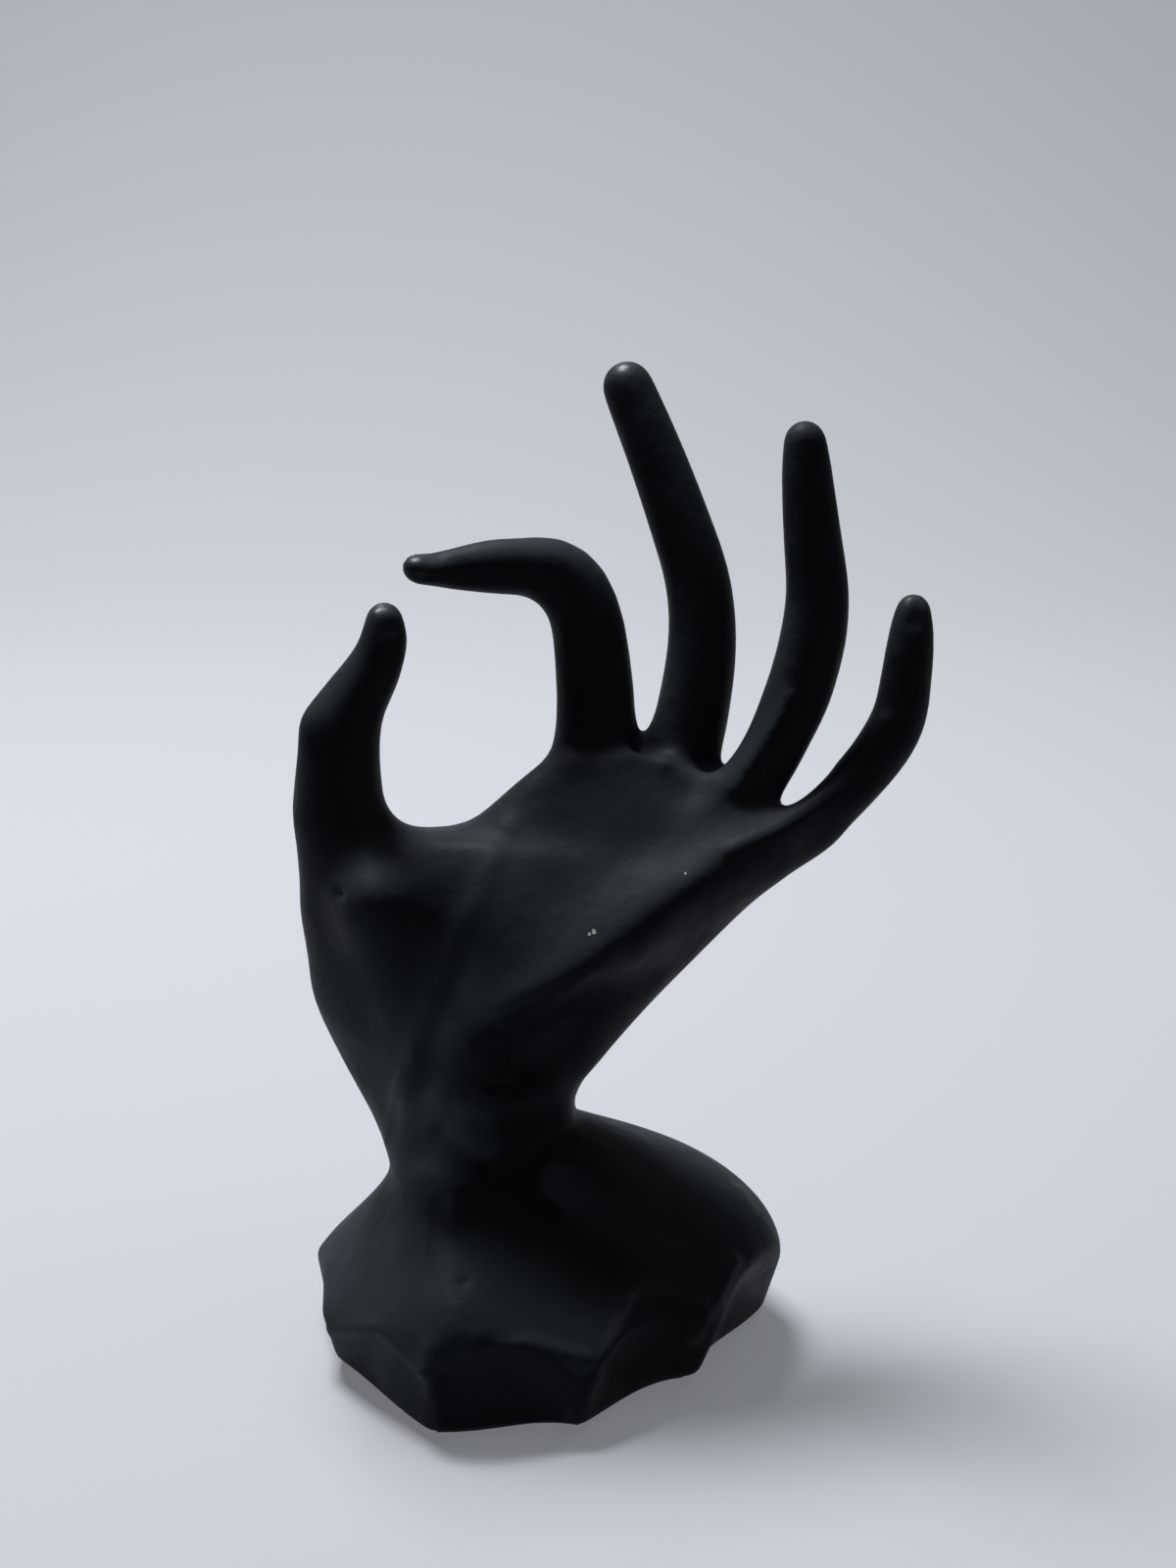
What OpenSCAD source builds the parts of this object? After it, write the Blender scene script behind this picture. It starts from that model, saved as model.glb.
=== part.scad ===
// Hand ring display stand: a slim left hand in an OK sign, cast in one piece with a draped, fluted base.
// Millimetres, +Z up. The origin is the middle of the felt pad's underside, and the palm faces -Y.

/* [Base] */
// Radius of the draped base at its widest cusp
rim_radius = 40; // [38:0.5:44]
// Height above the table at which the base is widest
rim_height = 11; // [9:0.5:13]
// How far each flute bites into the base between its cusps
flute_depth = 4; // [3:0.5:6]
// Rounding of the bottom edge
foot_round = 1; // [0.5:0.25:1.5]

/* [Felt pad] */
// Thickness of the felt pad
pad_thickness = 1; // [1:0.25:3]
// How far the pad's edge stays inside the casting's edge
pad_inset = 2; // [1:0.5:4]

/* [Wrist] */
// Height of the wrist's narrowest section
wrist_height = 37; // [35:0.5:40]
// Offset of the wrist from the middle of the base, to the left
wrist_offset = 11; // [9:0.5:13]
// Width of the wrist at its narrowest
wrist_width = 32; // [30:0.5:36]
// Thickness of the wrist, front to back
wrist_depth = 25; // [22:0.5:28]

/* [Thumb] */
// Bone lengths, from the wrist to the tip
thumb_bones = [39.5, 22.5, 13.5, 8.5]; // [8:0.5:60]
// Sideways lean of each bone from the vertical, in degrees, right positive
thumb_leans = [-16.5, 1, 34, 3.5]; // [-90:0.5:90]
// Forward lean of each bone, in degrees, towards the palm's side
thumb_reaches = [4, -5, -3, -4]; // [-30:1:40]
// Diameters at the two knuckles, the pad and the tip
thumb_girths = [16.6, 12.4, 8.4, 6.2]; // [4:0.1:18]

/* [Index finger] */
// Bone lengths, from the wrist to the tip
index_bones = [54, 36, 19.5, 11.5]; // [8:0.5:70]
// Sideways lean of each bone from the vertical, in degrees, right positive
index_leans = [27.5, -5, -88.5, -82]; // [-95:0.5:90]
// Forward lean of each bone, in degrees, towards the palm's side
index_reaches = [-11, -11, 18, 30]; // [-30:1:40]
// Diameters at the three knuckles and the tip
index_girths = [14, 11.5, 7.5, 4.4]; // [4:0.1:18]

/* [Middle finger] */
// Bone lengths, from the wrist to the tip
middle_bones = [57, 30, 24.5, 19]; // [8:0.5:70]
// Sideways lean of each bone from the vertical, in degrees, right positive
middle_leans = [36, 10, -19.5, -23.5]; // [-95:0.5:90]
// Forward lean of each bone, in degrees, towards the palm's side
middle_reaches = [-11, -9, -14, -18]; // [-30:1:40]
// Diameters at the three knuckles and the tip
middle_girths = [13, 11.2, 9.8, 8.3]; // [4:0.1:18]

/* [Ring finger] */
// Bone lengths, from the wrist to the tip
ring_bones = [60.5, 31.5, 20.5, 13]; // [8:0.5:70]
// Sideways lean of each bone from the vertical, in degrees, right positive
ring_leans = [43, 19.5, -7, -4.5]; // [-95:0.5:90]
// Forward lean of each bone, in degrees, towards the palm's side
ring_reaches = [-5, -5, -8, -10]; // [-30:1:40]
// Diameters at the three knuckles and the tip
ring_girths = [11, 10.9, 9, 7]; // [4:0.1:18]

/* [Little finger] */
// Bone lengths, from the wrist to the tip
little_bones = [58.5, 24.5, 13.5, 10]; // [8:0.5:70]
// Sideways lean of each bone from the vertical, in degrees, right positive
little_leans = [48.5, 41.5, 6.5, 3]; // [-95:0.5:90]
// Forward lean of each bone, in degrees, towards the palm's side
little_reaches = [-4, -4, -6, -6]; // [-30:1:40]
// Diameters at the three knuckles and the tip
little_girths = [8.6, 8.8, 8.1, 6.1]; // [4:0.1:18]

/* [Armature] */
// Diameter of the steel wire cast into each finger
wire_diameter = 2; // [1.2:0.1:2.2]
// Resin left between the wire's end and the fingertip
tip_cover = 6; // [4:0.5:10]
// Spacing of the wires side by side in the wrist
wire_pitch = 4; // [3.25:0.25:4.5]

/* [Hidden] */

finger_sides = 18;
bend_steps = 6;
tip_steps = 5;
wire_sides = 8;
wire_steps = 3;
flute_steps = 8;
wall_rings = 3;
dome_rings = 14;
ball_sides = 20;
palm_back_steps = 12;
palm_left_steps = 18;
palm_right_steps = 10;

// Bones bend over this share of their length either side of a joint
bend_share = 0.42;
// Where along its first bone a finger starts to grow out of the palm
finger_start = 0.8;

// The base's cusps, counter-clockwise from the left: plan angle, how far the rim and then the foot lie
// inside the widest radius, and the bite of the flute that follows as a share of the flute depth
cusps = [[-158, 0.5, 3, 0.6], [-117, 1, 0.5, 0.7], [-80, 4, 6, 1.1], [-37, 5, 9, 1], [4, 0, 3, 0.9],
         [42, 2.5, 6, 1], [80, 7, 9, 1], [125, 4.5, 6.5, 1], [172, 0, 1.5, 0.6]];

// Swellings of the palm's front: place across it from -1 to 1, section, reach across, reach along, height.
// The valley beside the ball of the thumb, the hollow below it, the pit in the heel and the heel's lower swell
palm_mounds = [[-0.42, 5.1, 0.16, 0.6, -2.5], [-0.41, 3.7, 0.2, 0.9, -7.5], [0.25, 2.6, 0.35, 0.4, -2],
               [0, 1.5, 0.6, 0.45, 2.5]];
// The ball of the thumb, from the middle of the thumb's lower knuckle, and its half-axes
thumb_ball = [[7, -8.5, -3.5], [9, 7.5, 8.5]];

function lerp(a, b, t) = a + (b - a) * t;
function unit(v) = v / norm(v);
function smooth(t) = t * t * (3 - 2 * t);
function clamp(t, low, high) = min(max(t, low), high);

// A smooth curve through four values, from the second to the third
function curve(a, b, c, d, t) =
    b + t / 2 * (c - a + t * (2 * a - 5 * b + 4 * c - d + t * (3 * b - a - 3 * c + d)));

// A smooth curve through a list at a station
function spline(list, s) =
    let (n = len(list) - 1, i = clamp(floor(s), 0, n - 1))
    curve(list[max(i - 1, 0)], list[i], list[i + 1], list[min(i + 2, n)], s - i);

// A bone of a given length, leaning sideways and forwards from the vertical
function bone(length, lean, reach) =
    length * [sin(lean) * cos(reach), -sin(reach), cos(lean) * cos(reach)];

// The joints of a finger: its root, and the end of each bone in turn
function joints(root, bones, leans, reaches, i = 0) =
    i == len(bones) ? [root]
    : concat([root], joints(root + bone(bones[i], leans[i], reaches[i]), bones, leans, reaches, i + 1));

// A value at a station along a list, where station 2.5 lies halfway from item 2 to item 3
function at_station(list, s) =
    let (i = min(floor(s), len(list) - 2))
    lerp(list[i], list[i + 1], s - i);

// Stations along a finger, close together through each bend
function bend_stations(count, steps) =
    [for (k = [1 : count - 2], j = [0 : steps]) k + bend_share * (2 * j / steps - 1)];

// A point on the path, which rounds each joint as a quadratic curve and is straight elsewhere
function path_point(knots, s) =
    let (k = min(max(round(s), 1), len(knots) - 2), u = (s - k) / (2 * bend_share) + 0.5)
    abs(s - k) >= bend_share ? at_station(knots, s)
    : let (a = lerp(knots[k], knots[k - 1], bend_share), b = lerp(knots[k], knots[k + 1], bend_share))
      lerp(lerp(a, knots[k], u), lerp(knots[k], b, u), u);

function path_heading(knots, s) =
    unit(path_point(knots, s + 0.02) - path_point(knots, s - 0.02));

// A ring of points square to a heading
function ring_points(centre, heading, radius, sides) =
    let (across = unit(cross(heading, [0, 1, 0])), front = cross(across, heading))
    [for (i = [0 : sides - 1])
     let (a = 360 * i / sides) centre + radius * (cos(a) * across + sin(a) * front)];

// A closed skin over rings of equal count, with a point at each end; the rings turn clockwise seen
// from the last one
module skin(rings, start, end) {
    sides = len(rings[0]);
    count = len(rings);
    points = concat([start], [for (r = rings) each r], [end]);
    function at(i, j) = 1 + i * sides + j % sides;
    faces = concat(
        [for (j = [0 : sides - 1]) [0, at(0, j + 1), at(0, j)]],
        [for (i = [0 : count - 2], j = [0 : sides - 1]) each [
            [at(i, j), at(i, j + 1), at(i + 1, j + 1)],
            [at(i, j), at(i + 1, j + 1), at(i + 1, j)]]],
        [for (j = [0 : sides - 1]) [at(count - 1, j), at(count - 1, j + 1), len(points) - 1]]);
    polyhedron(points, faces);
}

wrist_middle = [-wrist_offset, 4, wrist_height];

// Where each finger's bones meet the wrist, side by side, the thumb's furthest left
function finger_root(i) =
    wrist_middle + [wire_pitch * (i == 0 ? -2.75 : i - 2), i == 0 ? 3 : i == 4 ? 0 : 2, 7.5];

thumb = joints(finger_root(0), thumb_bones, thumb_leans, thumb_reaches);
index = joints(finger_root(1), index_bones, index_leans, index_reaches);
middle = joints(finger_root(2), middle_bones, middle_leans, middle_reaches);
ring = joints(finger_root(3), ring_bones, ring_leans, ring_reaches);
little = joints(finger_root(4), little_bones, little_leans, little_reaches);

// One finger as a smooth tapering tube that grows out of the palm between two stations, to a round tip
module finger(knots, girths, start, full = 1) {
    last = len(knots) - 1;
    tip_radius = girths[last - 1] / 2;
    heading = unit(knots[last] - knots[last - 1]);
    tip_middle = knots[last] - heading * tip_radius;
    stations = concat([start], [for (s = bend_stations(len(knots), bend_steps)) if (s > start) s]);
    body = [for (s = stations)
            let (girth = at_station(girths, max(s - 1, 0)),
                 grown = smooth(clamp((s - start) / (full - start), 0, 1)))
            ring_points(path_point(knots, s), path_heading(knots, s), girth / 2 * lerp(0.4, 1, grown),
                        finger_sides)];
    tip = [for (i = [0 : tip_steps - 1])
           let (a = 90 * i / tip_steps)
           ring_points(tip_middle + heading * tip_radius * sin(a), heading, tip_radius * cos(a),
                       finger_sides)];
    skin(concat(body, tip), path_point(knots, start), knots[last]);
}

module ball(place, diameter) {
    translate(place) sphere(d = diameter, $fn = ball_sides);
}

wrist_left = wrist_middle + [-wrist_width / 2, 0, -4];
wrist_right = wrist_middle + [wrist_width / 2, 0, 4];

// The palm from inside the base to the knuckles: its left edge, which climbs the thumb's side and then
// runs along the web to the index finger, and its right edge
thumb_base = path_point(thumb, 1);
palm_left = [wrist_left + [5, 0, -20], wrist_left,
             lerp(wrist_left, thumb_base, 0.28) + [-5.5, 3, 0],
             lerp(wrist_left, thumb_base, 0.5) + [-8.6, 3.5, 0],
             lerp(wrist_left, thumb_base, 0.73) + [-9, 3, 0],
             lerp(wrist_left, thumb_base, 0.96) + [-7.5, 2, 0],
             lerp(thumb_base, index[1], 0.17) + [0, 0.5, 4],
             lerp(thumb_base, index[1], 0.47) + [-1, -1, 1],
             lerp(thumb_base, index[1], 0.7) + [-1.5, -1, 5],
             index[1] + [-7, -1, 6.5]];
palm_right = [wrist_right + [-5, 0, -22], wrist_right,
              lerp(wrist_right, little[1], 0.14) + [-1.5, -1, 0],
              lerp(wrist_right, little[1], 0.36) + [-1, 0, 0.5],
              lerp(wrist_right, little[1], 0.6) + [-1, 0, -0.5],
              lerp(wrist_right, little[1], 0.76) + [-0.3, 0, -0.8],
              lerp(wrist_right, little[1], 0.88) + [0.3, 0, -1.2],
              lerp(wrist_right, little[1], 0.97) + [0.8, 0, -1.3],
              little[1] + [1.2, 0.5, -0.5],
              little[1] + [-1, 2, 2]];
// How far the palm's front stands out from its middle, on the left, half way and on the right
wrist_front = [1, 1, 1] * wrist_depth / 2;
palm_front = [wrist_front, wrist_front + [0, 3, 0], [9, 16.5, 9], [11, 18, 9], [11.5, 19, 8.5],
              [11, 15.5, 7], [8, 11, 6], [6.5, 9, 4.5], [4, 6, 4.2], [3, 2.5, 5]];
// How far the palm arches up between its edges, towards the bases of the fingers
palm_arch = [0, 0, 0, 0, 0, 0, 0, 0.7, 2.5, 6];
// How square the front's edges are
palm_square = [2.3, 2.3, 3, 3.5, 4, 4, 4, 4, 4, 4];
// Half-thickness of the back of the hand, which stays full as far as the knuckles
palm_back = [wrist_depth / 2, wrist_depth / 2, 12.5, 12, 12, 12.5, 13, 13.5, 12.5, 8.5];
// The crest that runs from the heel of the hand to the little finger: its place across the palm, how far it
// stands out, and how deep the hollow below it is
palm_crest = [-0.2, -0.2, -0.15, 0.05, 0.45, 0.57, 0.57, 0.56, 0.62, 0.8];
crest_rise = [0, 0, 0.5, 4, 5.7, 6.4, 6, 4.8, 4.5, 3];
crest_hollow = [0, 0, 0, 0.5, 0.5, 0.5, 0.5, 0.5, 0.5, 0];
// How far the crest reaches on its left, towards the palm, and on its right, and the hollow beyond it
crest_reach = [0.3, 0.26];
hollow_place = 0.42;
hollow_reach = 0.16;

// A bell curve
function bell(u) = exp(-u * u);

// How far the palm's front stands from the middle of the hand at a place
function palm_depth(x, s) =
    let (c = spline(palm_crest, s), f = spline(palm_front, s))
    f[1] + (f[2] - f[0]) / 2 * x + ((f[2] + f[0]) / 2 - f[1]) * x * x
    + spline(crest_rise, s) * bell((x - c) / crest_reach[x < c ? 0 : 1])
    - spline(crest_hollow, s) * bell((x - c - hollow_place) / hollow_reach)
    + [for (m = palm_mounds) m[4] * bell((x - m[0]) / m[2]) * bell((s - m[1]) / m[3])]
      * [for (m = palm_mounds) 1];

function palm_middle(s) = (spline(palm_left, s) + spline(palm_right, s)) / 2;
function palm_rise(x, s) = [0, 0, spline(palm_arch, s) * (1 - x * x)];

// A bow from 1 in its middle to 0 at its end
function bow(u, fullness) = pow(max(0, 1 - pow(abs(u), fullness)), 1 / fullness);

// A point of the palm's front, which faces a little upwards
palm_facing = unit([0, -1, 0.2]);
function palm_across(s) = (spline(palm_right, s) - spline(palm_left, s)) / 2;
function palm_front_point(x, s) =
    palm_middle(s) + palm_across(s) * x + palm_rise(x, s)
    + palm_facing * bow(x, spline(palm_square, s)) * palm_depth(x, s);

// One ring of the palm, clockwise from its left edge by way of its back, with a point on the crest
function palm_ring(s) =
    let (crest = spline(palm_crest, s))
    concat(
        [for (j = [0 : palm_back_steps - 1])
         let (x = -cos(180 * j / palm_back_steps))
         palm_middle(s) + palm_across(s) * x + palm_rise(x, s) - palm_facing * spline(palm_back, s) * bow(x, 2.3)],
        [for (j = [palm_right_steps : -1 : 1])
         palm_front_point(lerp(crest, 1, sin(90 * j / palm_right_steps)), s)],
        [for (j = [palm_left_steps : -1 : 1])
         palm_front_point(lerp(-1, crest, smooth(j / palm_left_steps)), s)]);

module palm() {
    last = len(palm_left) - 1;
    skin([for (i = [0 : 3 * last]) palm_ring(i / 3)], palm_middle(0), palm_middle(last));
}

// Flesh between two fingers, hanging a little between their bases
module finger_web(a, b, sag, diameter) {
    steps = 2;
    function hang(t) = lerp(a, b, t) - [0, 0, 4 * sag * t * (1 - t)];
    for (i = [0 : steps - 1]) hull() {
        ball(hang(i / steps), diameter);
        ball(hang((i + 1) / steps), diameter);
        ball(lerp(a, b, 0.5) - [0, 0, diameter], diameter);
    }
}

// Where the flesh of the knuckles lies from the joints, the little finger's further in than the others'
knuckle_drop = [0, -0.5, -1.5];
little_drop = [-3, 1, 2.5];
back_diameter = 8;

// The back of the hand over the bones of two fingers, from inside the palm to their knuckles
module knuckle_span(a, b, a_diameter, b_diameter, b_drop = knuckle_drop) {
    hull() {
        ball(a[1] + knuckle_drop, a_diameter);
        ball(b[1] + b_drop, b_diameter);
        ball(lerp(a[0], a[1], 0.55) + [-4, -2, 0], back_diameter);
        ball(lerp(b[0], b[1], 0.55) + [-6, -2, 0], back_diameter);
    }
}

// The webs from the index finger to the little finger: how far each sags, and how thick it is
web_sags = [2, 2, 4];
web_diameters = [8, 8, 6.5];

module finger_webs() {
    finger_web(lerp(index[1], index[2], 0.08), lerp(middle[1], middle[2], 0.1), web_sags[0], web_diameters[0]);
    finger_web(lerp(middle[1], middle[2], 0.04), lerp(ring[1], ring[2], 0.06), web_sags[1], web_diameters[1]);
    finger_web(ring[1], little[1] + little_drop, web_sags[2], web_diameters[2]);
}

module knuckles() {
    knuckle_span(index, middle, index_girths[0], middle_girths[0] + 1);
    knuckle_span(middle, ring, middle_girths[0] + 1, ring_girths[0] + 2);
    knuckle_span(ring, little, ring_girths[0] + 2, little_girths[0] - 1.5, little_drop);
}

// Where an angle lies among the cusps: the cusp before it, the one after it, and the share between them
function cusp_span(angle) =
    let (n = len(cusps), turn = angle < cusps[0][0] ? angle + 360 : angle,
         i = max([for (k = [0 : n - 1]) if (cusps[k][0] <= turn + 0.001) k]),
         a = cusps[i], b = i == n - 1 ? cusps[0] + [360, 0, 0, 0] : cusps[i + 1])
    [a, b, (turn - a[0]) / (b[0] - a[0])];

// The rim's radius (column 1) or the foot's (column 2) at an angle, flowing smoothly from cusp to cusp
function drape_radius(angle, column) =
    let (s = cusp_span(angle))
    rim_radius - lerp(s[0][column], s[1][column], smooth(s[2]));

// The fluted wall's radius: cusps at the rim, hollows between them, leaning in towards the table
function wall_radius(angle, z) =
    let (t = (z - pad_thickness) / (rim_height - pad_thickness), s = cusp_span(angle), u = 2 * s[2] - 1)
    lerp(drape_radius(angle, 2), drape_radius(angle, 1), t) - flute_depth * s[0][3] * (1 - u * u);

// Plan angles that meet every cusp and divide each flute evenly, clockwise
wall_angles = [for (k = [len(cusps) - 1 : -1 : 0], j = [flute_steps : -1 : 1])
               let (next = k == len(cusps) - 1 ? cusps[0][0] + 360 : cusps[k + 1][0],
                    a = lerp(cusps[k][0], next, j / flute_steps))
               a > 180 ? a - 360 : a];

// A point of the wall at a height, drawn in by an inset
function wall_point(angle, z, inset) =
    let (r = wall_radius(angle, z) - inset)
    [r * cos(angle), r * sin(angle), z];

// How full the drape of the dome is, flared on the left and full on the right, with a fold in front and a
// hollow beside it below the wrist: plan angle, reach, fullness
dome_fold = [-117, 22, 0.45];
dome_hollow = [-75, 25, -0.9];
// The share of the hollow that reaches down to the rim
dome_hollow_depth = 0.45;
function dome_change(angle, change) = change[2] * bell((angle - change[0]) / change[1]);
function dome_fullness(angle) =
    smooth(clamp((1.05 + cos(angle + 25)) / 1.75, 0, 1)) + dome_change(angle, dome_fold);

// The draped dome as a curve from the wrist to the rim
function dome_point(angle, t) =
    let (full = dome_fullness(angle), hollow = dome_change(angle, dome_hollow),
         high = full + hollow, low = full + dome_hollow_depth * hollow,
         a = 3 * t * pow(1 - t, 2), b = 3 * t * t * (1 - t),
         h = a * lerp(-0.1, 0.38, high) + b * lerp(0.45, 1.03, low) + t * t * t,
         v = pow(1 - t, 3) + a * lerp(0.62, 0.75, high) + b * lerp(0.38, 0.57, low),
         inner = wrist_middle + 0.45 * [wrist_width * cos(angle), wrist_depth * sin(angle), 0]
                 + [0, 0, 1.5 * cos(angle) - 1.5],
         outer = drape_radius(angle, 1) * [cos(angle), sin(angle), 0] + [0, 0, rim_height])
    [lerp(inner[0], outer[0], h), lerp(inner[1], outer[1], h), lerp(outer[2], inner[2], v)];

function plan_angle(p) = atan2(p[1], p[0]);
function inside_wall(p) = norm([p[0], p[1]]) <= wall_radius(plan_angle(p), p[2]);

// How far down its curve the dome runs before it meets the fluted wall, found by halving
function dome_end(angle, low = 0.3, high = 1, n = 14) =
    n == 0 ? low
    : let (mid = (low + high) / 2)
      inside_wall(dome_point(angle, mid)) ? dome_end(angle, mid, high, n - 1)
      : dome_end(angle, low, mid, n - 1);

module base_body() {
    ends = [for (a = wall_angles) dome_end(a)];
    hems = [for (j = [0 : len(wall_angles) - 1]) dome_point(wall_angles[j], ends[j])];
    walls = [for (i = [0 : wall_rings - 1])
             [for (h = hems)
              wall_point(plan_angle(h), lerp(pad_thickness + foot_round, h[2], i / wall_rings), 0)]];
    domes = [for (i = [0 : dome_rings])
             [for (j = [0 : len(hems) - 1]) dome_point(wall_angles[j], ends[j] * (1 - i / dome_rings))]];
    skin(concat([[for (h = hems) wall_point(plan_angle(h), pad_thickness, foot_round)]], walls, domes),
         [0, 0, pad_thickness], wrist_middle - [0, 0, 1.5]);
}

// The wire of one finger: up through the wrist and along the finger's axis, stopping short of the tip
function wire_knots(knots) =
    let (last = len(knots) - 1, heading = unit(knots[last] - knots[last - 1]))
    concat([[knots[0][0], 4, pad_thickness]], [for (k = [0 : last - 1]) knots[k]],
           [knots[last] - heading * tip_cover]);

module wire(knots) {
    path = wire_knots(knots);
    end = len(path) - 1;
    stations = concat([0], bend_stations(len(path), wire_steps), [end]);
    rings = [for (s = stations)
             ring_points(path_point(path, s), s == 0 ? [0, 0, 1] : path_heading(path, min(s, end - 0.03)),
                         wire_diameter / 2, wire_sides)];
    skin(rings, path[0], path[end]);
}

module hand() {
    palm();
    translate(thumb_base + thumb_ball[0]) scale(thumb_ball[1]) sphere(r = 1, $fn = ball_sides);
    finger(thumb, thumb_girths, finger_start);
    finger(index, index_girths, finger_start);
    finger(middle, middle_girths, finger_start);
    finger(ring, ring_girths, finger_start);
    finger(little, little_girths, 0.9, 1.2);
    finger_webs();
    knuckles();
}

module hand_casting() {
    color([0.04, 0.04, 0.045]) difference() {
        union() {
            base_body();
            hand();
        }
        for (f = [thumb, index, middle, ring, little]) wire(f);
    }
}

module felt_pad() {
    color([0.1, 0.1, 0.1]) linear_extrude(pad_thickness)
        polygon([for (a = wall_angles)
                 let (p = wall_point(a, pad_thickness, foot_round + pad_inset)) [p[0], p[1]]]);
}

module steel_wire(knots) {
    color([0.6, 0.6, 0.62]) wire(knots);
}

hand_casting();
steel_wire(thumb);  // thumb_wire
steel_wire(index);  // index_wire
steel_wire(middle);  // middle_wire
steel_wire(ring);  // ring_wire
steel_wire(little);  // little_wire
felt_pad();
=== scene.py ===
import math

import bpy
import numpy as np
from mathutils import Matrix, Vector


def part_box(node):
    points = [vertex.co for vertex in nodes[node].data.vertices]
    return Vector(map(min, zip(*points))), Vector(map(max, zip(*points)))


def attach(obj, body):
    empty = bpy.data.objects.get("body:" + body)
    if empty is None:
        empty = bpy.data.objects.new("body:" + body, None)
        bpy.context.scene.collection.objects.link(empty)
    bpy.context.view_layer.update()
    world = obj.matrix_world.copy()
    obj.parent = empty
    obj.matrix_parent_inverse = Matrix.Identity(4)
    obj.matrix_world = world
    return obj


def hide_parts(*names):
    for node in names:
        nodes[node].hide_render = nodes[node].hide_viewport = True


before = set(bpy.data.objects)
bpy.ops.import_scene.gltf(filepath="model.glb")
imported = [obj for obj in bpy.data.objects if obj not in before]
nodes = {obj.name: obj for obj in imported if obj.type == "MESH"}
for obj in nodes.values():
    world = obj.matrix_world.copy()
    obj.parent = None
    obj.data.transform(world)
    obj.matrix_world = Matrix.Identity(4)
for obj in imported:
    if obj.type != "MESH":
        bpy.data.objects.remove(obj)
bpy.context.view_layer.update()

import openvdb as vdb
from mathutils import Vector
from mathutils.bvhtree import BVHTree

WIRES = ["thumb_wire", "index_wire", "middle_wire", "ring_wire", "little_wire"]

# Lengths of the hand are in millimetres in the part's frame until a mesh or a material is made from them
MM = 0.001
VOXEL = 0.5

# The camera: where it looks, its tilt and distance, and its angle from the top to the bottom of the picture
AIM = np.array([7.0, 8.0, 94.0])
ELEVATION = math.radians(18)
DISTANCE = 380.0
VIEW_ANGLE = math.radians(36.8)
HALF_VIEW = math.tan(VIEW_ANGLE / 2)
SENSOR = 36.0
BACK = np.array([0.0, -math.cos(ELEVATION), math.sin(ELEVATION)])
UP = np.array([0.0, math.sin(ELEVATION), math.cos(ELEVATION)])
EYE = AIM + DISTANCE * BACK

# Half the width and half the height of the picture, in the pixels that places in it are given in
HALF_WIDTH = 600
HALF_HEIGHT = 800

# Flesh that flows from the thumb's ball into the wrist, or from the palm into a finger:
# where it starts and ends in the picture, and its two radii
BRIDGES = [
    [(392, 936), (415, 1095), 8.0, 7.0],
    [(735, 882), (862, 803), 4.0, 3.2],
    [(715, 835), (797, 738), 4.0, 3.0],
    [(735, 926), (848, 862), 3.0, 3.0],
]
# How softly a bridge joins the skin, and the room kept round its ends
BRIDGE_BLEND = 2.0
BRIDGE_ROOM = 12

# The gap between the ring finger and the little finger: its corners in the picture, and the part of the hand
# that it is cut from, as its least x and its least and greatest z
GAP = [
    (852, 705), (836, 740), (814, 783), (791, 821), (794, 828),
    (815, 818), (832, 804), (847, 789), (858, 772),
]
GAP_LEFT = 30
GAP_BOTTOM = 84
GAP_TOP = 122
# How far from the skin the cut works
GAP_BAND = 4

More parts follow.
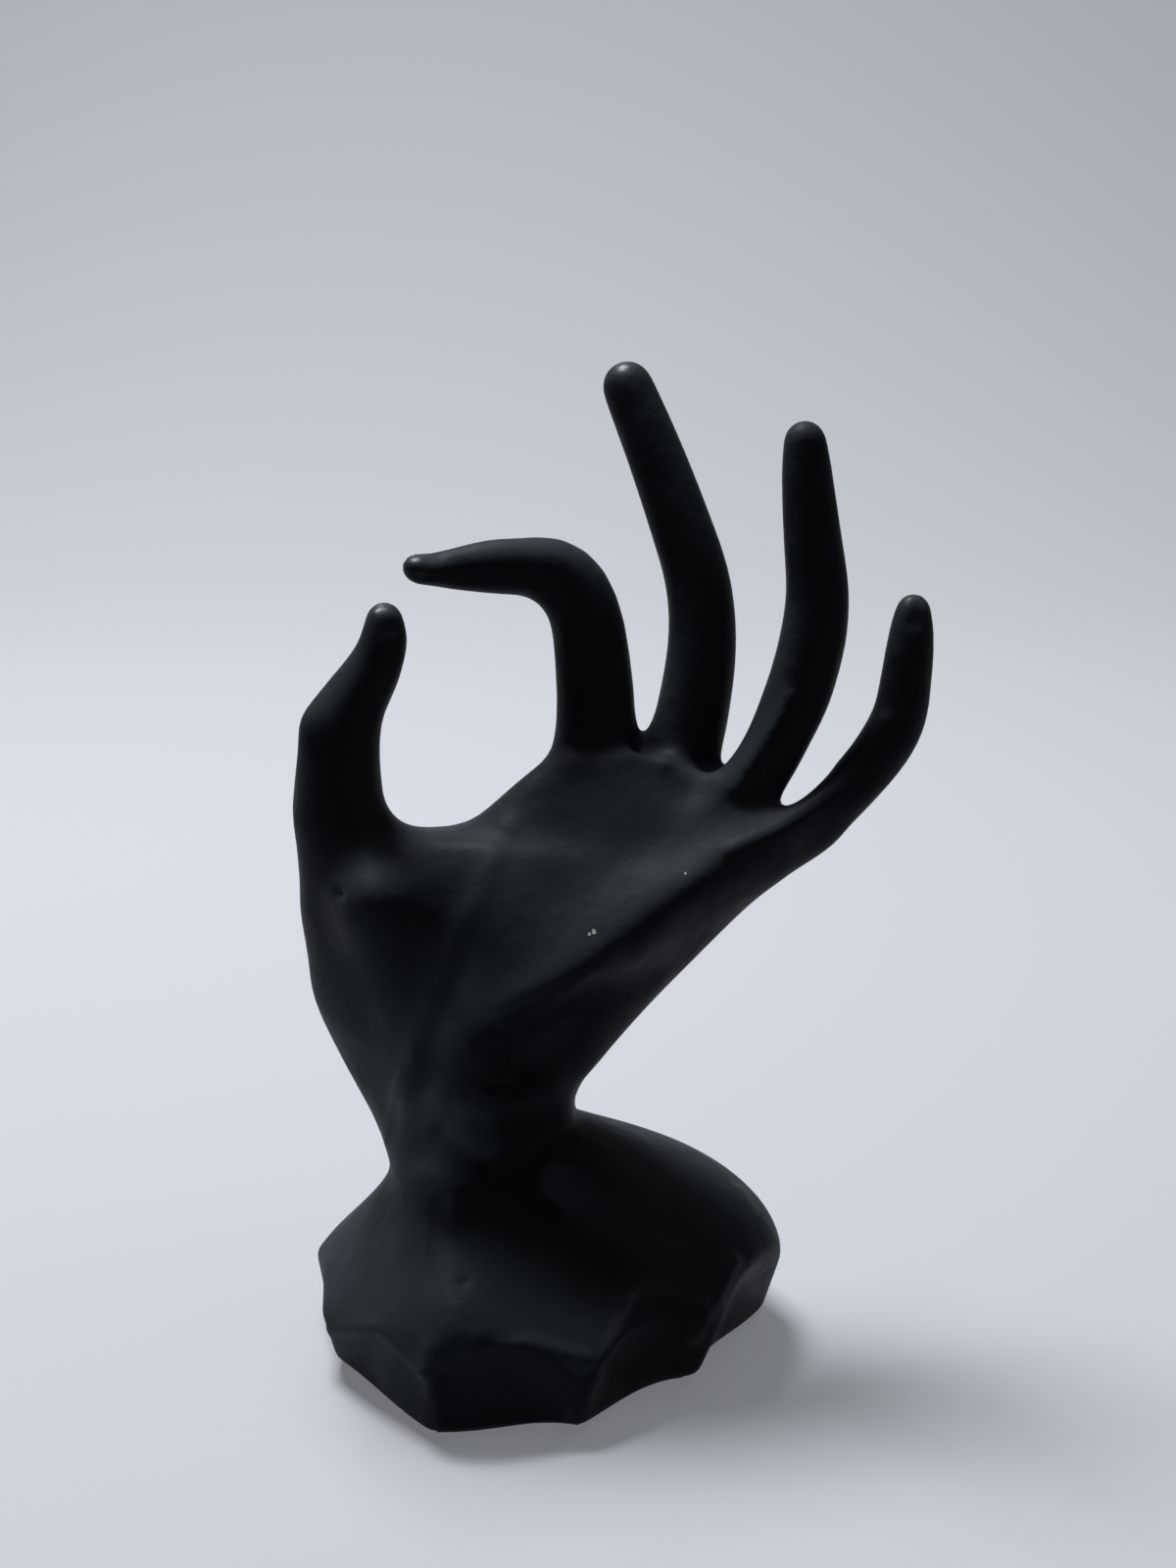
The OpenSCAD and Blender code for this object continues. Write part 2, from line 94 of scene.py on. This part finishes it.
# Folds and marks worked into the skin: a line in the picture, a height in millimetres and a reach in pixels
STROKES = [
    # The web of the thumb, sunk a little below its edge, and the notch at its end
    ([(405, 862), (440, 864), (480, 866), (515, 866)], -0.4, 18),
    ([(512, 862)], -0.3, 12),
    # The ball of the thumb, the hollow below it and the ridge that parts it from the palm
    ([(375, 918)], 1.3, 30),
    ([(405, 1000), (408, 1045)], -0.4, 36),
    ([(517, 847), (476, 935), (447, 1002), (422, 1064), (417, 1102)], 0.6, 15),
    # The heel of the hand: the groove under its crest, its lower swell and the fold above the base
    ([(480, 1039), (513, 1060), (560, 1044), (638, 980)], -0.6, 15),
    ([(455, 1120), (500, 1130), (560, 1118)], 0.9, 24),
    ([(450, 1160), (475, 1178), (510, 1188), (540, 1182), (562, 1160)], -0.9, 13),
    # The tendon at the left of the wrist
    ([(422, 1075), (414, 1120), (414, 1165)], 0.7, 13),
    # The ledge of the palm under the index and middle fingers
    ([(585, 778), (615, 780), (650, 770), (672, 780), (700, 792), (726, 794)], 0.25, 12),
    ([(585, 763), (615, 765), (646, 756), (670, 765), (700, 777), (726, 780)], -0.35, 9),
    ([(680, 778)], 0.5, 10),
    # The lit edges where the palm runs out into the ring and little fingers
    ([(752, 805), (790, 742), (806, 712)], 0.5, 9),
    ([(745, 868), (793, 848), (830, 826), (862, 800), (885, 768), (903, 735)], 0.55, 9),
    # Flat places: the palm below the index finger, the nails of the thumb, index and little fingers
    ([(585, 810), (575, 845)], -0.35, 28),
    ([(392, 622), (398, 640)], -0.5, 13),
    ([(425, 570), (445, 568)], -0.35, 9),
    ([(938, 618), (936, 634)], -0.4, 9),
    # The scoops round the base: the edges of the first, its hollow, and the lip of the second
    ([(338, 1357), (386, 1354), (415, 1378), (440, 1405), (450, 1450)], 0.6, 8),
    ([(375, 1392)], -0.9, 24),
    ([(436, 1397), (480, 1378), (541, 1370), (599, 1384)], 0.5, 8),
    ([(445, 1380), (482, 1372)], 0.8, 14),
    # The third scoop: the ridges beside it, its lip and its hollow
    ([(649, 1326), (620, 1385), (588, 1438)], 0.8, 9),
    ([(747, 1288), (730, 1325), (707, 1361)], 0.8, 9),
    ([(655, 1322), (685, 1322), (713, 1332)], 0.4, 8),
    ([(630, 1400), (680, 1348)], -1.3, 22),
    # The swell and the hollow on the front of the dome
    ([(445, 1330)], 0.8, 40),
    ([(605, 1325)], -1.4, 50),
    # Flaws of the cast: a nick and a chip on the dome, a pit in the thumb's ball and the seam at the wrist
    ([(473, 1309)], -0.5, 6),
    ([(755, 1200), (768, 1208), (778, 1225)], -0.8, 7),
    ([(348, 912)], -0.8, 6),
    ([(413, 1089), (400, 1120), (395, 1165)], 0.25, 5),
]
# Strokes fade where the skin turns from the camera: none at the first share of facing it, full at the second
FACING = (0.05, 0.35)

# Swellings and hollows on the outline: a place in the picture, and a height and a reach in millimetres
KNOBS = [
    # The thumb's angular joint and the straight edge above it
    ((315, 738), 1.1, 4.0),
    ((338, 696), -0.4, 5.0),
    # The little finger's lower joint, and the edge of the palm behind it
    ((905, 750), 0.35, 8.0),
    ((836, 862), -0.5, 5.0),
    ((800, 885), 0.5, 6.0),
    # The neck above the base, fuller at its foot and drawn in above
    ((408, 1186), 0.9, 5.0),
    ((392, 1126), -0.5, 5.0),
    # Fuller tips on the thumb, the middle finger and the ring finger
    ((384, 626), 0.4, 3.0),
    ((640, 385), 0.35, 6.0),
    ((824, 448), 0.3, 4.0),
    # The index finger's arched back, its blunt tip and the pad under the tip
    ((505, 560), 0.8, 5.0),
    ((480, 566), 0.3, 3.0),
    ((424, 572), 0.5, 2.5),
    ((417, 578), 0.4, 2.0),
    ((434, 588), 0.5, 2.5),
]

# Worn glossy places and specks of bare resin: a place in the picture and a radius in millimetres
GLOSS = [(390, 624, 4.0), (428, 573, 3.2), (938, 621, 3.0), (637, 374, 2.5)]
SPECKS = [(601, 953, 0.3), (606, 951, 0.42), (699, 891, 0.2)]

# The skin's grid: the room round the hand, how far distances are known, and the resin kept over a wire
ROOM = 9
BAND = 6
OVER_WIRE = 0.6

# Radii that fill the inner corners between the fingers, over the palm and the wrist, and in the flared parts,
# and how far distances are known afterwards
FINGER_FILLET = 1.2
PALM_FILLET = 4.0
FLARED_FILLET = 6.0
FILLET_BAND = 7
FLARED_BAND = 8

# Where the palm's fillet holds: edges along z, and how far the upper one rises towards the thumb, along x
PALM_LOW = (32, 40)
PALM_HIGH = (86, 94)
PALM_LIFT = 8
PALM_LIFTED = (5, 20)

# Parts of the hand with a fillet or a blur of their own, by their soft edges: left and right along x, low and
# high along z, each from its first number to its second
NECK = {"right": (-12, 2), "low": (18, 26), "high": (44, 54)}
BEND = {"left": (-14, -8), "right": (4, 9), "low": (110, 116), "high": (128, 134)}
WEB = {"left": (-36, -32), "right": (-2, 6), "low": (60, 68), "high": (102, 108)}
BALL = {"right": (-16, -6), "low": (58, 66), "high": (84, 92)}
BASE = {"high": (18, 28)}

# Blurs in voxels: over the hand, on the ball of the thumb and on the base
HAND_BLUR = 2.0
BALL_BLUR = 5.0
BASE_BLUR = 1.6

# Colours, and where they stand in the noise or the share that mixes them
PAINT = [(0.35, (0.026, 0.034, 0.041)), (0.7, (0.034, 0.043, 0.051))]
BARE_RESIN = (0.5, 0.5, 0.44, 1)
STEEL = [(0.3, (0.45, 0.45, 0.46)), (0.7, (0.62, 0.62, 0.63))]
FELT = [(0.3, (0.012, 0.012, 0.013)), (0.7, (0.05, 0.05, 0.052))]
# The floor is dark for the light that bounces off it, and pale and faintly glowing where it is seen
FLOOR = [(0.0, (0.04, 0.04, 0.043)), (1.0, (0.45, 0.47, 0.51))]
FLOOR_GLOW = (0.62, 0.65, 0.7, 1)
FLOOR_GLOW_STRENGTH = 0.25
SKY = (0.85, 0.92, 1.0, 1)
SKY_STRENGTH = 0.015

# The floor in metres: its front edge, where its sweep starts, the sweep's radius, its top and half its width
FLOOR_FRONT = -1.6
SWEEP_START = 0.5
SWEEP_RADIUS = 0.5
FLOOR_TOP = 2.2
FLOOR_HALF = 2.5
SWEEP_STEPS = 16
FIRST_SWEEP = 0.1

# Lamps: a name, a place and an aim in metres, a width in metres, a power in watts and a spread in degrees
LAMPS = [
    ("key", (-0.21, 0.31, 0.92), (0.0, 0.0, 0.08), 0.32, 10.7, 180),
    ("top", (0.35, 0.1, 0.9), (0.0, 0.0, 0.05), 0.8, 0.8, 180),
    ("side", (-0.6, -0.25, 0.04), (-0.01, -0.01, 0.04), 0.05, 0.003, 7),
]


def make_camera():
    """The photograph's camera."""
    data = bpy.data.cameras.new("camera")
    data.sensor_width = SENSOR
    data.lens = SENSOR / 2 / HALF_VIEW
    data.clip_start = 0.01
    camera = bpy.data.objects.new("camera", data)
    bpy.context.scene.collection.objects.link(camera)
    camera.location = Vector(EYE * MM)
    camera.rotation_euler = (math.pi / 2 - ELEVATION, 0, 0)
    bpy.context.scene.camera = camera


def pixel_ray(x, y):
    """The direction from the camera through a place in the picture."""
    u = (x - HALF_WIDTH) / HALF_HEIGHT * HALF_VIEW
    v = (HALF_HEIGHT - y) / HALF_HEIGHT * HALF_VIEW
    ray = u * np.array([1.0, 0.0, 0.0]) + v * UP - BACK
    return ray / np.linalg.norm(ray)


def pixels(points):
    """Where points fall in the picture."""
    arm = points - EYE
    depth = -(arm @ BACK)
    scale = HALF_HEIGHT / HALF_VIEW / depth
    return np.stack([HALF_WIDTH + arm[:, 0] * scale, HALF_HEIGHT - (arm @ UP) * scale], axis=1)


def picked(tree, x, y):
    """The point of the skin seen at a place in the picture, or the nearest one if the place lies off it."""
    ray = Vector(pixel_ray(x, y))
    seen = tree.ray_cast(Vector(EYE), ray)[0]
    return np.array(seen or tree.find_nearest(Vector(EYE) + ray * DISTANCE)[0])


def to_line(places, line):
    """Distances in pixels from places in the picture to a line of points."""
    if len(line) == 1:
        return np.linalg.norm(places - np.array(line[0]), axis=-1)
    nearest = np.full(places.shape[:-1], np.inf)
    for a, b in zip(np.array(line[:-1], float), np.array(line[1:], float)):
        share = np.clip((places - a) @ (b - a) / ((b - a) @ (b - a)), 0, 1)
        nearest = np.minimum(nearest, np.linalg.norm(places - a - share[..., None] * (b - a), axis=-1))
    return nearest


def inside(places, corners):
    """Whether places in the picture lie inside a polygon."""
    odd = np.zeros(places.shape[:-1], bool)
    for (ax, ay), (bx, by) in zip(corners, corners[1:] + corners[:1]):
        if ay == by:
            continue
        across = (ay > places[..., 1]) != (by > places[..., 1])
        odd ^= across & (places[..., 0] < ax + (bx - ax) * (places[..., 1] - ay) / (by - ay))
    return odd


def triangles(obj):
    """A node's points in millimetres and its triangles."""
    mesh = obj.data
    mesh.calc_loop_triangles()
    points = np.zeros(len(mesh.vertices) * 3, np.float32)
    mesh.vertices.foreach_get("co", points)
    faces = np.zeros(len(mesh.loop_triangles) * 3, np.int32)
    mesh.loop_triangles.foreach_get("vertices", faces)
    return points.reshape(-1, 3) / MM, faces.reshape(-1, 3)


def vertex_normals(points, quads):
    """Unit normals at the points of a mesh of quads."""
    corners = points[quads]
    face = np.cross(corners[:, 2] - corners[:, 0], corners[:, 3] - corners[:, 1])
    normals = np.zeros_like(points)
    for k in range(4):
        np.add.at(normals, quads[:, k], face)
    return normals / np.maximum(np.linalg.norm(normals, axis=1, keepdims=True), 1e-9)


class Field:
    """Signed distances on a grid of voxels: negative inside, zero on the skin."""

    def __init__(self, low, high, voxel):
        self.voxel = voxel
        self.low = np.floor(np.array(low) / voxel).astype(int)
        self.shape = np.ceil(np.array(high) / voxel).astype(int) - self.low + 1
        self.transform = vdb.createLinearTransform(voxelSize=voxel)

    def corner(self):
        """The grid's first voxel."""
        return tuple(int(i) for i in self.low)

    def axis(self, k):
        """Coordinates along one axis, shaped to spread over the grid."""
        line = (self.low[k] + np.arange(self.shape[k])) * self.voxel
        return line.reshape([-1 if i == k else 1 for i in range(3)]).astype(np.float32)

    def from_faces(self, points, band, tris=None, quads=None):
        """Distances to a closed mesh, known up to a band from it."""
        faces = {}
        if tris is not None:
            faces["triangles"] = tris.astype(np.uint32)
        if quads is not None:
            faces["quads"] = quads.astype(np.uint32)
        grid = vdb.FloatGrid.createLevelSetFromPolygons(
            points.astype(np.float32), transform=self.transform, halfWidth=band / self.voxel, **faces)
        values = np.empty(self.shape, np.float32)
        grid.copyToArray(values, ijk=self.corner())
        return values

    def quads(self, values, level=0.0):
        """The mesh on which the distances have a level."""
        grid = vdb.FloatGrid(float(values.max()))
        grid.copyFromArray(values, ijk=self.corner())
        grid.transform = self.transform
        return grid.convertToQuads(isovalue=level)

    def closed(self, values, radius, band):
        """Inner corners filled by a ball of that radius."""
        points, faces = self.quads(values, radius)
        return self.from_faces(points, band, quads=faces) + radius


def blurred(values, sigma):
    """The field after a soft blur of sigma voxels."""
    reach = int(math.ceil(2.5 * sigma))
    weights = np.exp(-0.5 * (np.arange(-reach, reach + 1) / sigma) ** 2)
    weights /= weights.sum()
    for k in range(3):
        padded = np.pad(values, [(reach, reach) if i == k else (0, 0) for i in range(3)], mode="edge")
        count = values.shape[k]
        total = np.zeros_like(values)
        for j, w in enumerate(weights):
            part = [slice(None)] * 3
            part[k] = slice(j, j + count)
            total += np.float32(w) * padded[tuple(part)]
        values = total
    return values


def ramp(x, start, end):
    """A smooth step from 0 at start to 1 at end."""
    t = np.clip((x - start) / (end - start), 0, 1)
    return t * t * (3 - 2 * t)


def zone(x, z, left=None, right=None, low=None, high=None):
    """1 in a part of the hand and 0 outside it, across soft edges."""
    share = 1
    if left:
        share = share * ramp(x, *left)
    if right:
        share = share * (1 - ramp(x, *right))
    if low:
        share = share * ramp(z, *low)
    if high:
        share = share * (1 - ramp(z, *high))
    return share


def bridged(field, skin, tree):
    """The skin with the bridges of flesh joined on."""
    grid = np.stack(np.broadcast_arrays(*[field.axis(k) for k in range(3)]), axis=-1)
    for start, end, wide, narrow in BRIDGES:
        ends = []
        for (x, y), radius in ((start, wide), (end, narrow)):
            place, normal, _, _ = tree.ray_cast(Vector(EYE), Vector(pixel_ray(x, y)))
            ends.append(np.array(place - normal * radius))
        low = ((np.minimum(*ends) - BRIDGE_ROOM) / field.voxel).astype(int) - field.low
        high = ((np.maximum(*ends) + BRIDGE_ROOM) / field.voxel).astype(int) - field.low
        part = tuple(slice(max(a, 0), b) for a, b in zip(low, high))
        along = ends[1] - ends[0]
        offset = grid[part] - ends[0]
        share = np.clip(offset @ along / (along @ along), 0, 1)
        radius = wide + (narrow - wide) * share
        rod = np.linalg.norm(offset - share[..., None] * along, axis=-1) - radius
        mix = np.clip(0.5 + 0.5 * (skin[part] - rod) / BRIDGE_BLEND, 0, 1)
        skin[part] = skin[part] + mix * (rod - skin[part]) - BRIDGE_BLEND * mix * (1 - mix)
    return skin


def parted(field, skin):
    """The skin with the gap between the last two fingers opened to its corner, as the camera sees it."""
    x, z = field.axis(0), field.axis(2)
    near = np.nonzero((skin < GAP_BAND) & (x > GAP_LEFT) & (z > GAP_BOTTOM) & (z < GAP_TOP))
    points = (np.stack(near, axis=1) + field.low) * field.voxel
    places = pixels(points)
    away = np.linalg.norm(points - EYE, axis=1)
    reach = to_line(places, GAP + GAP[:1]) * away * HALF_VIEW / HALF_HEIGHT
    skin[near] = np.maximum(skin[near], np.where(inside(places, GAP), reach, -reach))
    return skin


def hand_field():
    """The casting's outer skin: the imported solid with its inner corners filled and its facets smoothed."""
    points, tris = triangles(nodes["hand_casting"])
    field = Field(points.min(0) - ROOM, points.max(0) + ROOM, VOXEL)
    skin = field.from_faces(points, BAND, tris=tris)
    for name in WIRES:
        wire_points, wire_tris = triangles(nodes[name])
        skin = np.minimum(skin, field.from_faces(wire_points, BAND, tris=wire_tris) - OVER_WIRE)
    x, z = field.axis(0), field.axis(2)
    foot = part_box("hand_casting")[0].z / MM
    skin = np.maximum(skin, foot - z)
    skin = bridged(field, skin, BVHTree.FromPolygons(points.tolist(), tris.tolist()))

    # The fingers part sharply, and the thumb, the palm and the wrist flow into one another
    small = field.closed(skin, FINGER_FILLET, FILLET_BAND)
    large = field.closed(skin, PALM_FILLET, FILLET_BAND)
    lift = PALM_LIFT * (1 - ramp(x, *PALM_LIFTED))
    flowing = ramp(z, *PALM_LOW) * (1 - ramp(z - lift, *PALM_HIGH))
    skin = small + flowing * (large - small)
    flared = field.closed(skin, FLARED_FILLET, FLARED_BAND)
    flaring = np.maximum(np.maximum(zone(x, z, **NECK), zone(x, z, **BEND)), zone(x, z, **WEB))
    skin = skin + flaring * (flared - skin)
    skin = parted(field, skin)

    # The blur is widest on the ball of the thumb and narrowest on the base, and the underside stays flat
    soft = blurred(skin, HAND_BLUR)
    soft = soft + zone(x, z, **BALL) * (blurred(skin, BALL_BLUR) - soft)
    skin = soft + zone(x, z, **BASE) * (blurred(skin, BASE_BLUR) - soft)
    return field, np.maximum(skin, foot - z)


def worked(points, quads, tree):
    """The skin's points after the folds and marks are pressed into its front."""
    normals = vertex_normals(points, quads)
    sight = EYE - points
    facing = (normals * sight).sum(1) / np.linalg.norm(sight, axis=1)
    places = pixels(points)
    height = np.zeros(len(points))
    for line, rise, reach in STROKES:
        low, high = np.min(line, axis=0) - 3 * reach, np.max(line, axis=0) + 3 * reach
        near = np.nonzero(((places > low) & (places < high)).all(axis=1) & (facing > 0))[0]
        height[near] += rise * np.exp(-(to_line(places[near], line) / reach) ** 2)
    height *= ramp(facing, *FACING)
    for (x, y), rise, reach in KNOBS:
        height += rise * np.exp(-(np.linalg.norm(points - picked(tree, x, y), axis=1) / reach) ** 2)
    return points + normals * height[:, None]


def new_piece(name, points, faces, material, node):
    """A smooth mesh shown in place of a node."""
    mesh = bpy.data.meshes.new(name)
    mesh.from_pydata((points * MM).tolist(), [], faces.tolist())
    mesh.polygons.foreach_set("use_smooth", np.ones(len(faces), bool))
    mesh.materials.append(material)
    mesh.update()
    piece = bpy.data.objects.new(name, mesh)
    bpy.context.scene.collection.objects.link(piece)
    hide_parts(node)
    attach(piece, "root")


def node_tree(name):
    """A new material, its nodes and its shader."""
    material = bpy.data.materials.new(name)
    material.use_nodes = True
    tree = material.node_tree
    return material, tree, tree.nodes["Principled BSDF"]


def add(tree, kind, **values):
    """A new node with its inputs and settings."""
    node = tree.nodes.new(kind)
    for key, value in values.items():
        if key in node.inputs:
            node.inputs[key].default_value = value
        else:
            setattr(node, key, value)
    return node


def noise(tree, scale, detail, rough=0.55):
    """Noise in object space, with its scale in cycles per metre."""
    place = add(tree, "ShaderNodeTexCoord")
    node = add(tree, "ShaderNodeTexNoise", Scale=scale, Detail=detail, Roughness=rough)
    tree.links.new(place.outputs["Object"], node.inputs["Vector"])
    return node.outputs["Fac"]


def spread(tree, source, low, high, start=0.3, end=0.7):
    """A value between start and end mapped to a range from low to high."""
    node = add(tree, "ShaderNodeMapRange")
    node.inputs["From Min"].default_value = start
    node.inputs["From Max"].default_value = end
    node.inputs["To Min"].default_value = low
    node.inputs["To Max"].default_value = high
    tree.links.new(source, node.inputs["Value"])
    return node.outputs["Result"]


def colours(tree, source, stops):
    """A value turned into colours."""
    node = add(tree, "ShaderNodeValToRGB")
    ramp_stops = node.color_ramp.elements
    while len(ramp_stops) < len(stops):
        ramp_stops.new(0.5)
    for element, (place, colour) in zip(ramp_stops, stops):
        element.position = place
        element.color = (*colour, 1)
    tree.links.new(source, node.inputs["Fac"])
    return node.outputs["Color"]


def bump(tree, shader, layers):
    """Bump layers, each a height and a depth in metres."""
    previous = None
    for height, depth in layers:
        node = add(tree, "ShaderNodeBump", Strength=1.0, Distance=depth)
        tree.links.new(height, node.inputs["Height"])
        if previous:
            tree.links.new(previous, node.inputs["Normal"])
        previous = node.outputs["Normal"]
    tree.links.new(previous, shader.inputs["Normal"])


def near_places(tree, skin, places, soft, uneven):
    """1 close to the given places on the skin, fading to 0 at their radii, which vary by an uneven share."""
    coordinates = add(tree, "ShaderNodeTexCoord")
    grain = noise(tree, scale=2500, detail=2)
    middle = 0.5 * uneven
    total = None
    for x, y, radius in places:
        gap = add(tree, "ShaderNodeVectorMath", operation="DISTANCE")
        tree.links.new(coordinates.outputs["Object"], gap.inputs[0])
        gap.inputs[1].default_value = Vector(picked(skin, x, y) * MM)
        rough = add(tree, "ShaderNodeMath", operation="MULTIPLY_ADD")
        tree.links.new(grain, rough.inputs[0])
        rough.inputs[1].default_value = radius * MM * uneven
        tree.links.new(gap.outputs["Value"], rough.inputs[2])
        start, end = radius * MM * (soft + middle), radius * MM * (1 + middle)
        near = spread(tree, rough.outputs[0], 1, 0, start, end)
        total = largest(tree, total, near) if total else near
    return total


def largest(tree, one, other):
    """The larger of two values."""
    node = add(tree, "ShaderNodeMath", operation="MAXIMUM")
    tree.links.new(one, node.inputs[0])
    tree.links.new(other, node.inputs[1])
    return node.outputs[0]


def blend(tree, share, low, high):
    """A value that runs from low to high with a share."""
    node = add(tree, "ShaderNodeMix", data_type="FLOAT")
    tree.links.new(share, node.inputs["Factor"])
    for socket, value in ((node.inputs["A"], low), (node.inputs["B"], high)):
        if isinstance(value, float):
            socket.default_value = value
        else:
            tree.links.new(value, socket)
    return node.outputs["Result"]


def black_resin(skin):
    """Matte black paint on cast resin, uneven as a hand-finished coat is, worn at the tips and chipped."""
    material, tree, shader = node_tree("black_resin")
    paint = colours(tree, noise(tree, scale=45, detail=4), PAINT)
    chipped = add(tree, "ShaderNodeMix", data_type="RGBA")
    chipped.inputs["B"].default_value = BARE_RESIN
    tree.links.new(near_places(tree, skin, SPECKS, soft=0.7, uneven=3.0), chipped.inputs["Factor"])
    tree.links.new(paint, chipped.inputs["A"])
    tree.links.new(chipped.outputs["Result"], shader.inputs["Base Color"])
    worn = near_places(tree, skin, GLOSS, soft=0.5, uneven=0.3)
    matte = spread(tree, noise(tree, scale=160, detail=5), low=0.45, high=0.6)
    tree.links.new(blend(tree, worn, low=matte, high=0.36), shader.inputs["Roughness"])
    tree.links.new(blend(tree, worn, low=0.06, high=0.25), shader.inputs["Specular IOR Level"])
    waves = noise(tree, scale=140, detail=3)
    grain = noise(tree, scale=1900, detail=3)
    bump(tree, shader, [(waves, 0.00035), (grain, 0.00004)])
    return material


def steel():
    """Drawn steel wire."""
    material, tree, shader = node_tree("drawn_steel")
    tree.links.new(colours(tree, noise(tree, scale=900, detail=3), STEEL), shader.inputs["Base Color"])
    shader.inputs["Metallic"].default_value = 1
    shader.inputs["Roughness"].default_value = 0.35
    bump(tree, shader, [(noise(tree, scale=2500, detail=2), 0.00003)])
    return material


def felt():
    """Black felt."""
    material, tree, shader = node_tree("black_felt")
    tree.links.new(colours(tree, noise(tree, scale=1500, detail=6), FELT), shader.inputs["Base Color"])
    shader.inputs["Roughness"].default_value = 0.95
    shader.inputs["Sheen Weight"].default_value = 0.4
    bump(tree, shader, [(noise(tree, scale=2200, detail=6, rough=0.7), 0.0003)])
    return material


def paint_node(name, material):
    """Gives a node that keeps its own mesh a material."""
    mesh = nodes[name].data
    mesh.materials.clear()
    mesh.materials.append(material)


def seen_directly(tree):
    """1 where the camera, a reflection or a see-through surface looks, and 0 for the light that bounces."""
    path = add(tree, "ShaderNodeLightPath")
    total = path.outputs["Is Camera Ray"]
    for ray in ("Is Glossy Ray", "Is Transmission Ray"):
        total = largest(tree, total, path.outputs[ray])
    return total


def make_floor():
    """A pale floor that sweeps up behind the object."""
    turns = np.linspace(FIRST_SWEEP, math.pi / 2, SWEEP_STEPS)
    profile = [(FLOOR_FRONT, 0.0), (SWEEP_START, 0.0)]
    profile += [(SWEEP_START + SWEEP_RADIUS * math.sin(a), SWEEP_RADIUS - SWEEP_RADIUS * math.cos(a))
                for a in turns]
    profile += [(SWEEP_START + SWEEP_RADIUS, FLOOR_TOP)]
    points = [(x, y, z) for y, z in profile for x in (-FLOOR_HALF, FLOOR_HALF)]
    faces = [(2 * i, 2 * i + 1, 2 * i + 3, 2 * i + 2) for i in range(len(profile) - 1)]
    mesh = bpy.data.meshes.new("floor")
    mesh.from_pydata(points, [], faces)
    mesh.polygons.foreach_set("use_smooth", np.ones(len(faces), bool))
    material, tree, shader = node_tree("pale_floor")
    shader.inputs["Roughness"].default_value = 0.9
    shader.inputs["Specular IOR Level"].default_value = 0.1
    seen = seen_directly(tree)
    tree.links.new(colours(tree, seen, FLOOR), shader.inputs["Base Color"])
    shader.inputs["Emission Color"].default_value = FLOOR_GLOW
    glow = spread(tree, seen, low=0, high=FLOOR_GLOW_STRENGTH, start=0, end=1)
    tree.links.new(glow, shader.inputs["Emission Strength"])
    mesh.materials.append(material)
    floor = bpy.data.objects.new("floor", mesh)
    bpy.context.scene.collection.objects.link(floor)


def make_light():
    """A key lamp and a broad lamp above the object, a weak fill on the wrist and a dim sky."""
    for name, place, aim, size, power, angle in LAMPS:
        data = bpy.data.lights.new(name, "AREA")
        data.size = size
        data.energy = power
        data.spread = math.radians(angle)
        lamp = bpy.data.objects.new(name, data)
        bpy.context.scene.collection.objects.link(lamp)
        lamp.location = place
        lamp.rotation_euler = (Vector(aim) - Vector(place)).to_track_quat("-Z", "Y").to_euler()

    world = bpy.data.worlds.new("studio")
    world.use_nodes = True
    bpy.context.scene.world = world
    sky = world.node_tree.nodes["Background"]
    sky.inputs["Color"].default_value = SKY
    sky.inputs["Strength"].default_value = SKY_STRENGTH
    bpy.context.scene.view_settings.view_transform = "Standard"


def main():
    make_camera()
    make_floor()
    make_light()
    field, skin = hand_field()
    points, quads = field.quads(skin)
    tree = BVHTree.FromPolygons(points.tolist(), quads.tolist())
    points = worked(points, quads, tree)
    new_piece("hand", points, quads, black_resin(tree), "hand_casting")
    for name in WIRES:
        paint_node(name, steel())
    paint_node("felt_pad", felt())


main()
